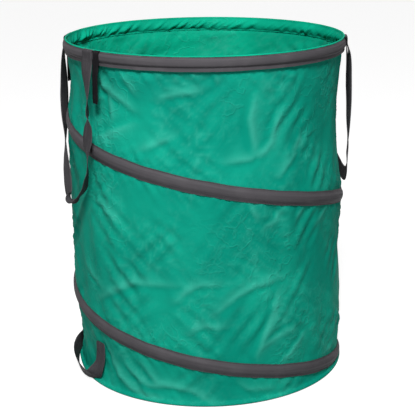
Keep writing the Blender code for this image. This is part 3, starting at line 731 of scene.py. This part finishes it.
def makeHem():
    # A sleeve folded over the wall's top edge: a short outer lip, a round crest and an inner leg that puffs
    # out down to its pinched seam and then follows the wall's inside as a flat edge.
    angles = np.linspace(0, 360, hem["columns"] + 1)
    a = angles[:-1, None]
    share = np.concatenate([np.linspace(0, 0.72, hem["rows"]), np.linspace(0.76, 1, hem["flangeRows"])])
    toSeam = share[None, :] / 0.5
    pinch = ripple(a, 41, 16, 24, 80)
    seam = hem["seam"] + 0.0022 * pinch + 0.0012 * ripple(a, 42, 6, 6, 20)
    z = np.where(toSeam < 1, hem["top"] - (hem["top"] - seam) * toSeam,
                 seam - (seam - hem["bottom"]) * (toSeam - 1))
    against = np.minimum(wallRadius(a, z) - bag["cloth"] - hem["clearance"], hem["largest"])
    swell = 0.45 + 1.1 * np.abs(ripple(a + 260 * (z - spring["rimHoopZ"]), 43, 14, 16, 70))
    puff = hem["puff"] * np.sin(np.pi * np.clip(toSeam, 0, 1) ** 1.25) * swell
    flute = (hem["flute"] * np.maximum(ripple(a, 44, 16, 34, 120), -0.4)
             * np.exp(-np.abs(z - seam) / hem["fluteReach"]) * easeIn(toSeam))
    outerFace = against - puff - np.maximum(flute, 0)
    under, over = np.array(hem["underLip"]), np.array(hem["overLip"])
    wave = hem["lipWave"] * ripple(a, 45, 8, 6, 40)
    # loop: up the leg's wall side, round the under side of the lip, over the crest and down the bag side
    lips = [around(a, lip[None, :, 0] + wave, lip[None, :, 1]) for lip in (under, over)]
    grid = np.concatenate([around(a, outerFace, z)[:, ::-1], *lips,
                           around(a, outerFace - bag["cloth"], z)], axis=1)
    heights = np.concatenate([z[0, ::-1], under[:, 1], over[:, 1], z[0], z[0, -1:]])
    shade = np.exp(-((z - seam) / hem["shadow"]) ** 2) * (0.55 + 0.45 * easeIn(0.5 + pinch))
    shade = np.concatenate([shade[:, ::-1], np.zeros((len(a), len(under) + len(over))), shade], axis=1)
    return surface("rim_hem_cloth", "rim_hem", "rim", grid,
                   pairs(metresRound(angles), heights), hemCloth, wrapAlong=True, sharp=70,
                   marks={"inside": 1.0, "ridge": 0.0, "shade": shade})


hemPiece = makeHem()
print("hem made")


base = {"columns": 240, "rings": 44, "radius": 0.2763, "lift": 0.0016, "waves": 22, "pucker": 0.0008,
        "puckerFrom": 0.17, "pipingRadius": 0.00325, "tapeInside": 0.00205, "pipingHalf": 0.0098,
        "bulge": 0.03, "slit": 16.0, "pipingSteps": 18}


def makeBasePanel():
    # a disc of two faces; shallow waves lift it a little between the middle and the seam
    angles = np.linspace(0, 360, base["columns"] + 1)
    radii = base["radius"] * np.linspace(0, 1, base["rings"]) ** 0.8
    a, r = angles[:-1, None], radii[None, :]
    x, y = r * np.cos(np.radians(a)), r * np.sin(np.radians(a))
    rng = np.random.default_rng(51)
    wave = np.zeros_like(x)
    for _ in range(base["waves"]):
        k, heading, phase = rng.uniform(12, 90), rng.uniform(0, 6.3), rng.uniform(0, 6.3)
        wave = wave + np.sin(k * (x * math.cos(heading) + y * math.sin(heading)) + phase) * 12 / k
    wave = wave / np.abs(wave).max()
    pucker = ripple(a, 53, 12, 18, 70) * easeIn((r - base["puckerFrom"]) / 0.08) * base["pucker"]
    lift = (base["lift"] * (1 + wave) + np.maximum(pucker, 0)) * (1 - (r / base["radius"]) ** 6)
    r = r * (1 - footPull(a, 0.0) / base["radius"])
    both = np.concatenate([radii, radii[::-1]])
    made = surface("base_panel_cloth", "base_panel", "base",
                   shell(around(a, r, lift), around(a, r, lift + bag["cloth"])),
                   around(angles[:, None], both, 0.0)[..., :2], baseCloth, wrapAlong=True, wrapAcross=False,
                   marks={"inside": np.repeat([0.0, 1.0], len(radii)), "ridge": 0.0})
    work = bmesh.new()
    work.from_mesh(made.data)
    bmesh.ops.remove_doubles(work, verts=work.verts, dist=1e-6)
    work.to_mesh(made.data)
    work.free()
    return made


def makePiping():
    # tape folded round the base hoop, with its slit towards the panel
    steps, halfSlit = base["pipingSteps"], base["slit"] / 2
    turn = np.radians(np.linspace(180 + halfSlit, 540 - halfSlit, steps))[None, :]
    a, centre = hoopAngles[:-1, None], footRadius[:-1, None]
    bulge = np.where(np.cos(turn) > 0, 1 + base["bulge"] * ripple(a, 61, 10, 20, 90), 1)
    middle = spring["baseHoopZ"]
    outer, inner = (around(a, centre + radius * np.cos(turn) * swell, middle + radius * np.sin(turn))
                    for radius, swell in ((base["pipingRadius"], bulge), (base["tapeInside"], 1)))
    across = np.linspace(-base["pipingHalf"], base["pipingHalf"], steps)
    return surface("base_piping_cloth", "base_piping", "base", shell(outer, inner),
                   shellUv(hoopAngles, across), pipingCloth, wrapAlong=True)


basePiece, pipingPiece = makeBasePanel(), makePiping()
print("base made")


def strap(node, middles, wide, width, thick, taper=1.0, body=None, kind="webbing",
          finish=carryWebbing):
    # A flat band along middles whose width lies along wide: seven columns on each face and round edges.
    alongWay = unit(np.gradient(middles, axis=0))
    side = unit(wide - alongWay * (wide * alongWay).sum(axis=1, keepdims=True))
    facing = np.cross(side, alongWay)
    share = np.linspace(-1, 1, 7)
    columns, crown = share * (width / 2 - thick * 0.3), thick / 2 * (1 - 0.12 * np.abs(share) ** 4)
    across = np.concatenate([columns, [width / 2], columns[::-1], [-width / 2]])
    out = np.concatenate([crown, [0], -crown[::-1], [0]])
    scale = np.broadcast_to(taper, len(middles))
    grid = (middles[:, None] + side[:, None] * (across[None, :, None] * scale[:, None, None])
            + facing[:, None] * out[None, :, None])
    uv = pairs(arcLength(middles), np.r_[across, across[:1]])
    return surface(f"{node}_{kind}", node, body, grid, uv, finish, sharp=55)


carry = {"left": 175.0, "right": 355.0, "halfAngle": 22.5, "width": 0.030, "thick": 0.0015,
         "radius": 0.28315, "seamRadius": 0.2776, "seamZ": 0.67855, "splitZ": 0.664, "bendZ": 0.645}
# per point: degrees from the loop's middle, radius, height, heading and tilt of the webbing's width
carryLoops = {
    "left": (
        (22.5, 0.28315, 0.664, 107.5, 0), (22.6, 0.2846, 0.6525, 113, 0), (23, 0.2872, 0.636, 107, 0),
        (23.4, 0.289, 0.6196, 95, 0), (23.5, 0.2897, 0.6, 84, 0), (23.5, 0.2905, 0.578, 70, 0),
        (23.7, 0.2913, 0.56, 63, 0), (24, 0.292, 0.548, 78, 0), (24.2, 0.2928, 0.533, 100, 0),
        (23.7, 0.2935, 0.5104, 106, 0), (23, 0.2937, 0.492, 94, 0), (23.1, 0.2935, 0.4755, 76, 0),
        (22.6, 0.2925, 0.453, 71, 0), (21.6, 0.2925, 0.4334, 58, 0), (20.3, 0.2935, 0.412, 52, -4),
        (17, 0.2955, 0.393, 57, -6), (13.4, 0.2975, 0.382, 68, -4), (10.2, 0.2985, 0.381, 84, -10),
        (7.9, 0.2975, 0.393, 100, -18), (5.6, 0.295, 0.409, 104, -20), (1.6, 0.2915, 0.428, 98, -20),
        (-4.4, 0.288, 0.448, 88, -20), (-10.8, 0.2862, 0.468, 77, -16), (-16, 0.287, 0.488, 65, -10),
        (-19.6, 0.289, 0.51, 54, -5), (-21.8, 0.2903, 0.53, 46, 0), (-22.6, 0.2905, 0.554, 42, 0),
        (-22.8, 0.29, 0.58, 46, 0), (-22.7, 0.2897, 0.605, 52, 0), (-22.5, 0.2893, 0.628, 60, 0),
        (-22.5, 0.288, 0.645, 65, 0), (-22.5, 0.2855, 0.656, 65, 0), (-22.5, 0.28315, 0.664, 62.5, 0)),
    "right": (
        (22.5, 0.28315, 0.664, 107.5, 0), (22.5, 0.2855, 0.6555, 107.5, 0), (22.5, 0.2876, 0.642, 107, 0),
        (22.4, 0.2882, 0.626, 104, 0), (22, 0.288, 0.59, 100, 0), (21.6, 0.2885, 0.55, 96, 0),
        (20.8, 0.289, 0.51, 90, 0), (18.5, 0.2895, 0.47, 84, 6), (14, 0.29, 0.438, 78, 20),
        (8, 0.2905, 0.414, 74, 38), (1, 0.291, 0.396, 70, 60), (-6, 0.2915, 0.383, 60, 75),
        (-11.5, 0.292, 0.383, 60, 60), (-14.5, 0.2925, 0.4, 60, 40), (-15, 0.2925, 0.42, 58, 20),
        (-15.5, 0.292, 0.44, 54, 6), (-17.5, 0.2905, 0.46, 60, 0), (-20, 0.2895, 0.482, 68, 0),
        (-21.6, 0.2893, 0.51, 76, 0), (-22, 0.2895, 0.54, 80, 0), (-22.2, 0.2888, 0.57, 83, 0),
        (-22.4, 0.288, 0.6, 83, 0), (-22.5, 0.288, 0.626, 79, 0), (-22.5, 0.2880, 0.644, 70, 0),
        (-22.5, 0.2856, 0.6555, 65, 0), (-22.5, 0.28315, 0.664, 62.5, 0))}


def rimExit():
    # webbing leaves the seam above the rim tape and bends over it, as radius and height
    out, seam, top = carry["radius"], carry["seamRadius"], carry["seamZ"]
    bend = (out - seam) * 0.8
    turn = np.radians(np.linspace(90, 0, 9))
    bent = np.stack([out - bend + bend * np.cos(turn), top - bend + bend * np.sin(turn)], axis=1)
    return np.concatenate([[(seam, top)], bent])


def makeCarry(side):
    # two tabs folded out of the seam, then the loop between them
    centre = carry[side]
    for end, way in (("front", 1), ("back", -1)):
        angle = centre + way * carry["halfAngle"]
        path = rimExit()
        down = np.linspace(path[-1, 1], carry["splitZ"], 6)[1:]
        path = np.concatenate([path, np.stack([np.full(5, carry["radius"]), down], axis=1)])
        tab = strap(f"carry_tab_{side}_{end}", around(angle, *path.T), around(angle - 90, 1.0, 0.0),
                    carry["width"], carry["thick"])
        x, y, _ = around(angle, carry["radius"], 0.0)
        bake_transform(tab)
    angles, radius, height, heading, tilt = curveThrough(carryLoops[side], 220).T
    wide = around(heading, np.cos(np.radians(tilt)), np.sin(np.radians(tilt)))
    loop = strap(f"carry_handle_{side}", around(centre + angles, radius, height), wide, carry["width"],
                 carry["thick"])
    x, y, _ = around(centre, carry["radius"], 0.0)
    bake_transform(loop)


closing = {"spacing": 0.0015, "width": 0.020, "shown": 0.0165, "turn": -5.0, "length": 0.098,
           "thick": 0.0015, "rows": 28, "free": 0.660, "freeOver": 0.030, "shift": 0.0022, "drift": 0.030,
           "driftBelow": 0.655, "standOff": 0.001, "round": 0.004, "rounding": 0.3, "foldZ": 0.668}


def makeClosing(side, end, way):
    # a strap straight down beside the carry tab, which drifts towards it and ends with rounded corners
    shift = carry["width"] / 2 + closing["spacing"] + closing["width"] / 2
    angle = carry[side] + way * (carry["halfAngle"] + math.degrees(shift / carry["radius"]))
    path = rimExit()
    low = carry["seamZ"] - closing["length"]
    points = [(carry["radius"], z) for z in (path[-1, 1], 0.6620, tape["rimBottom"], low)]
    radius, z = np.concatenate([path, curveThrough(points, closing["rows"])[1:]]).T
    hang = easeIn((closing["free"] - z) / closing["freeOver"])
    drift = closing["shift"] + closing["drift"] * np.maximum(closing["driftBelow"] - z, 0)
    angle = angle - way * np.degrees(drift / carry["radius"]) * hang
    wide = around(angle + 90 + closing["turn"] * hang, 1.0, 0.0)
    corner = (np.clip(z - low, 0, 1) < closing["round"]) * (1 - (z - low) / closing["round"]) ** 2
    taper = np.sqrt(np.clip(1 - corner * closing["rounding"], 0, 1))
    made = strap(f"closing_strap_{side}_{end}", around(angle, radius + closing["standOff"] * hang, z), wide,
                 closing["shown"], closing["thick"], taper, kind="tape",
                 finish=hookTape)
    x, y, _ = around(angle[0], carry["seamRadius"], 0.0)
    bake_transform(made)


for side in ("left", "right"):
    makeCarry(side)
print("carry handles made")
for side in ("left", "right"):
    for end, way in (("front", 1), ("back", -1)):
        makeClosing(side, end, way)
print("closing straps made")


tipping = {"centre": 174.0, "halfAngle": 22.0, "top": 0.090, "bottom": 0.070, "width": 0.030,
           "thick": 0.0015, "patchRows": 16, "clearance": 0.0004, "round": 0.004, "rounding": 0.30}
# per point: degrees from the middle, stand-off from the wall, height, turn in the wall's face and lean
tippingLoop = (
    (22, 0, 0.070, 0, 0), (22, 0.0008, 0.058, 0, 0), (21.9, 0.0030, 0.046, -3, 8),
    (21.4, 0.0075, 0.034, -18, 40), (20.2, 0.0115, 0.0235, -46, 57), (18.2, 0.0140, 0.0180, -72, 48),
    (15.5, 0.0158, 0.0155, -88, 33), (11, 0.0168, 0.0148, -90, 23), (6, 0.0164, 0.0152, -90, 19),
    (0, 0.0150, 0.0165, -90, 19), (-6, 0.0132, 0.0178, -90, 20), (-11, 0.0112, 0.0185, -90, 20),
    (-15, 0.0088, 0.0200, -91, 19), (-18, 0.0060, 0.0235, -102, 14), (-20.2, 0.0034, 0.0300, -130, 6),
    (-21.5, 0.0016, 0.0395, -160, 1), (-22, 0.0006, 0.052, -180, 0), (-22, 0, 0.070, -180, 0))


def makeTipping():
    # two sewn patches, and a loop down from the front one, flat along the foot and up to the back one
    patches, seats = [], []
    for end, way in (("front", 1), ("back", -1)):
        angle = tipping["centre"] + way * tipping["halfAngle"]
        heights = np.linspace(tipping["top"], tipping["bottom"], tipping["patchRows"])
        nearby = angle + np.degrees(np.linspace(-0.5, 0.5, 7) * tipping["width"] / bag["radius"])
        wallThere = wallRadius(nearby[:, None], heights[None, :]).max()
        seat = wallThere + tipping["clearance"] + tipping["thick"] / 2
        corner = np.clip(1 - (tipping["top"] - heights) / tipping["round"], 0, 1)
        patches.append(strap(
            f"tipping_patch_{end}", around(angle, seat, heights), around(angle + 90, 1.0, 0.0),
            tipping["width"], tipping["thick"], 1 - tipping["rounding"] * corner ** 2, "base"))
        seats.append(seat)
    angle, standOff, height, turn, lean = curveThrough(tippingLoop, 150).T
    seat = seats[0] + (seats[1] - seats[0]) * (1 - angle / tipping["halfAngle"]) / 2
    angle, turn, lean = tipping["centre"] + angle, np.radians(turn), np.radians(lean)
    wide = (np.cos(turn)[:, None] * around(angle + 90, 1.0, 0.0)
            + np.sin(turn)[:, None] * around(angle, np.sin(lean), np.cos(lean)))
    return *patches, strap("tipping_handle", around(angle, seat + standOff, height), wide, tipping["width"],
                           tipping["thick"], body="tipping")


tippingPieces = makeTipping()
print("tipping handle made")


for soft in (*tippingPieces, wallPiece, spiralTapePiece, coilPiece):
    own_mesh(soft)
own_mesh(hemPiece)

view = {"angle": 248.0, "distance": 2.30964, "height": 1.00113, "pitch": 0.28718, "yaw": 0.00091,
        "roll": -0.01042, "lens": 100.15, "sensor": 36.0}


def makeCamera():
    # out from the axis at an angle, turned back by yaw, down by pitch and rolled about its own sight line
    turn = math.radians(view["angle"])
    heading, pitch = turn + math.pi - view["yaw"], view["pitch"]
    level = math.cos(pitch)
    forward = Vector((math.cos(heading) * level, math.sin(heading) * level, -math.sin(pitch)))
    right = Vector((math.sin(heading), -math.cos(heading), 0))
    up = right.cross(forward)
    cosRoll, sinRoll = math.cos(view["roll"]), math.sin(view["roll"])
    ways = Matrix((right * cosRoll + up * sinRoll, up * cosRoll - right * sinRoll, -forward)).transposed()
    data = bpy.data.cameras.new("camera")
    data.lens, data.sensor_width = view["lens"], view["sensor"]
    camera = addObject("camera", data)
    spot = Vector((math.cos(turn) * view["distance"], math.sin(turn) * view["distance"], view["height"]))
    camera.matrix_world = Matrix.Translation(spot) @ ways.to_4x4()
    bpy.context.scene.camera = camera


# lamps: degrees, distance out, height, size across and power
studio = {"key": (243, 2.1, 2.6, 0.8, 129), "top": (250, 0.4, 2.8, 1.8, 8), "aim": 0.34, "world": 0.11,
          "floorGlow": 0.85, "floorGrey": (0.42, 0.42, 0.42, 1), "floorHalf": 9, "floorZ": -0.0006}


def makeLamp(name, angle, distance, height, size, power):
    # a round lamp that faces the bag's middle
    data = bpy.data.lights.new(name, "AREA")
    data.shape, data.size, data.energy = "DISK", size, power
    lamp = addObject(name, data)
    lamp.location = spot = Vector(around(angle, distance, height))
    lamp.rotation_euler = (Vector((0, 0, studio["aim"])) - spot).to_track_quat("-Z", "Y").to_euler()


def seenRays(tree):
    # 1 for rays that see the backdrop: straight from the camera, in a gloss or through something
    path = place(tree, "LightPath").outputs
    through = calc("MAXIMUM", path["Is Glossy Ray"], path["Is Transmission Ray"])
    return calc("MAXIMUM", path["Is Camera Ray"], through)


def makeStudio():
    # two lamps, a white world that lights weakly, and a pale floor that glows white where it is seen
    makeLamp("keyLamp", *studio["key"])
    makeLamp("topLamp", *studio["top"])
    world = bpy.data.worlds.new("studio")
    world.use_nodes = True
    tree, white = world.node_tree, (1, 1, 1, 1)
    lit = tree.nodes["Background"]
    lit.inputs["Color"].default_value, lit.inputs["Strength"].default_value = white, studio["world"]
    seen = place(tree, "Background", {"Color": white, "Strength": 1.0})
    mix = place(tree, "MixShader", {0: seenRays(tree), 1: lit.outputs[0], 2: seen.outputs[0]})
    join(mix.outputs[0], tree.nodes["World Output"].inputs["Surface"])
    bpy.context.scene.world = world

    finish = bpy.data.materials.new("paleFloor")
    finish.use_nodes = True
    shader = finish.node_tree.nodes["Principled BSDF"].inputs
    for key, value in {"Base Color": studio["floorGrey"], "Roughness": 0.9, "Specular IOR Level": 0.1,
                       "Emission Color": white}.items():
        shader[key].default_value = value
    join(times(seenRays(finish.node_tree), studio["floorGlow"]), shader["Emission Strength"])
    mesh = bpy.data.meshes.new("floor")
    corners = [(x * studio["floorHalf"], y * studio["floorHalf"], studio["floorZ"])
               for x, y in ((-1, -1), (1, -1), (1, 1), (-1, 1))]
    mesh.from_pydata(corners, [], [(0, 1, 2, 3)])
    mesh.materials.append(finish)
    addObject("floor", mesh)
    bpy.context.scene.view_settings.view_transform = "Standard"


makeCamera()
makeStudio()
print("camera and light made")
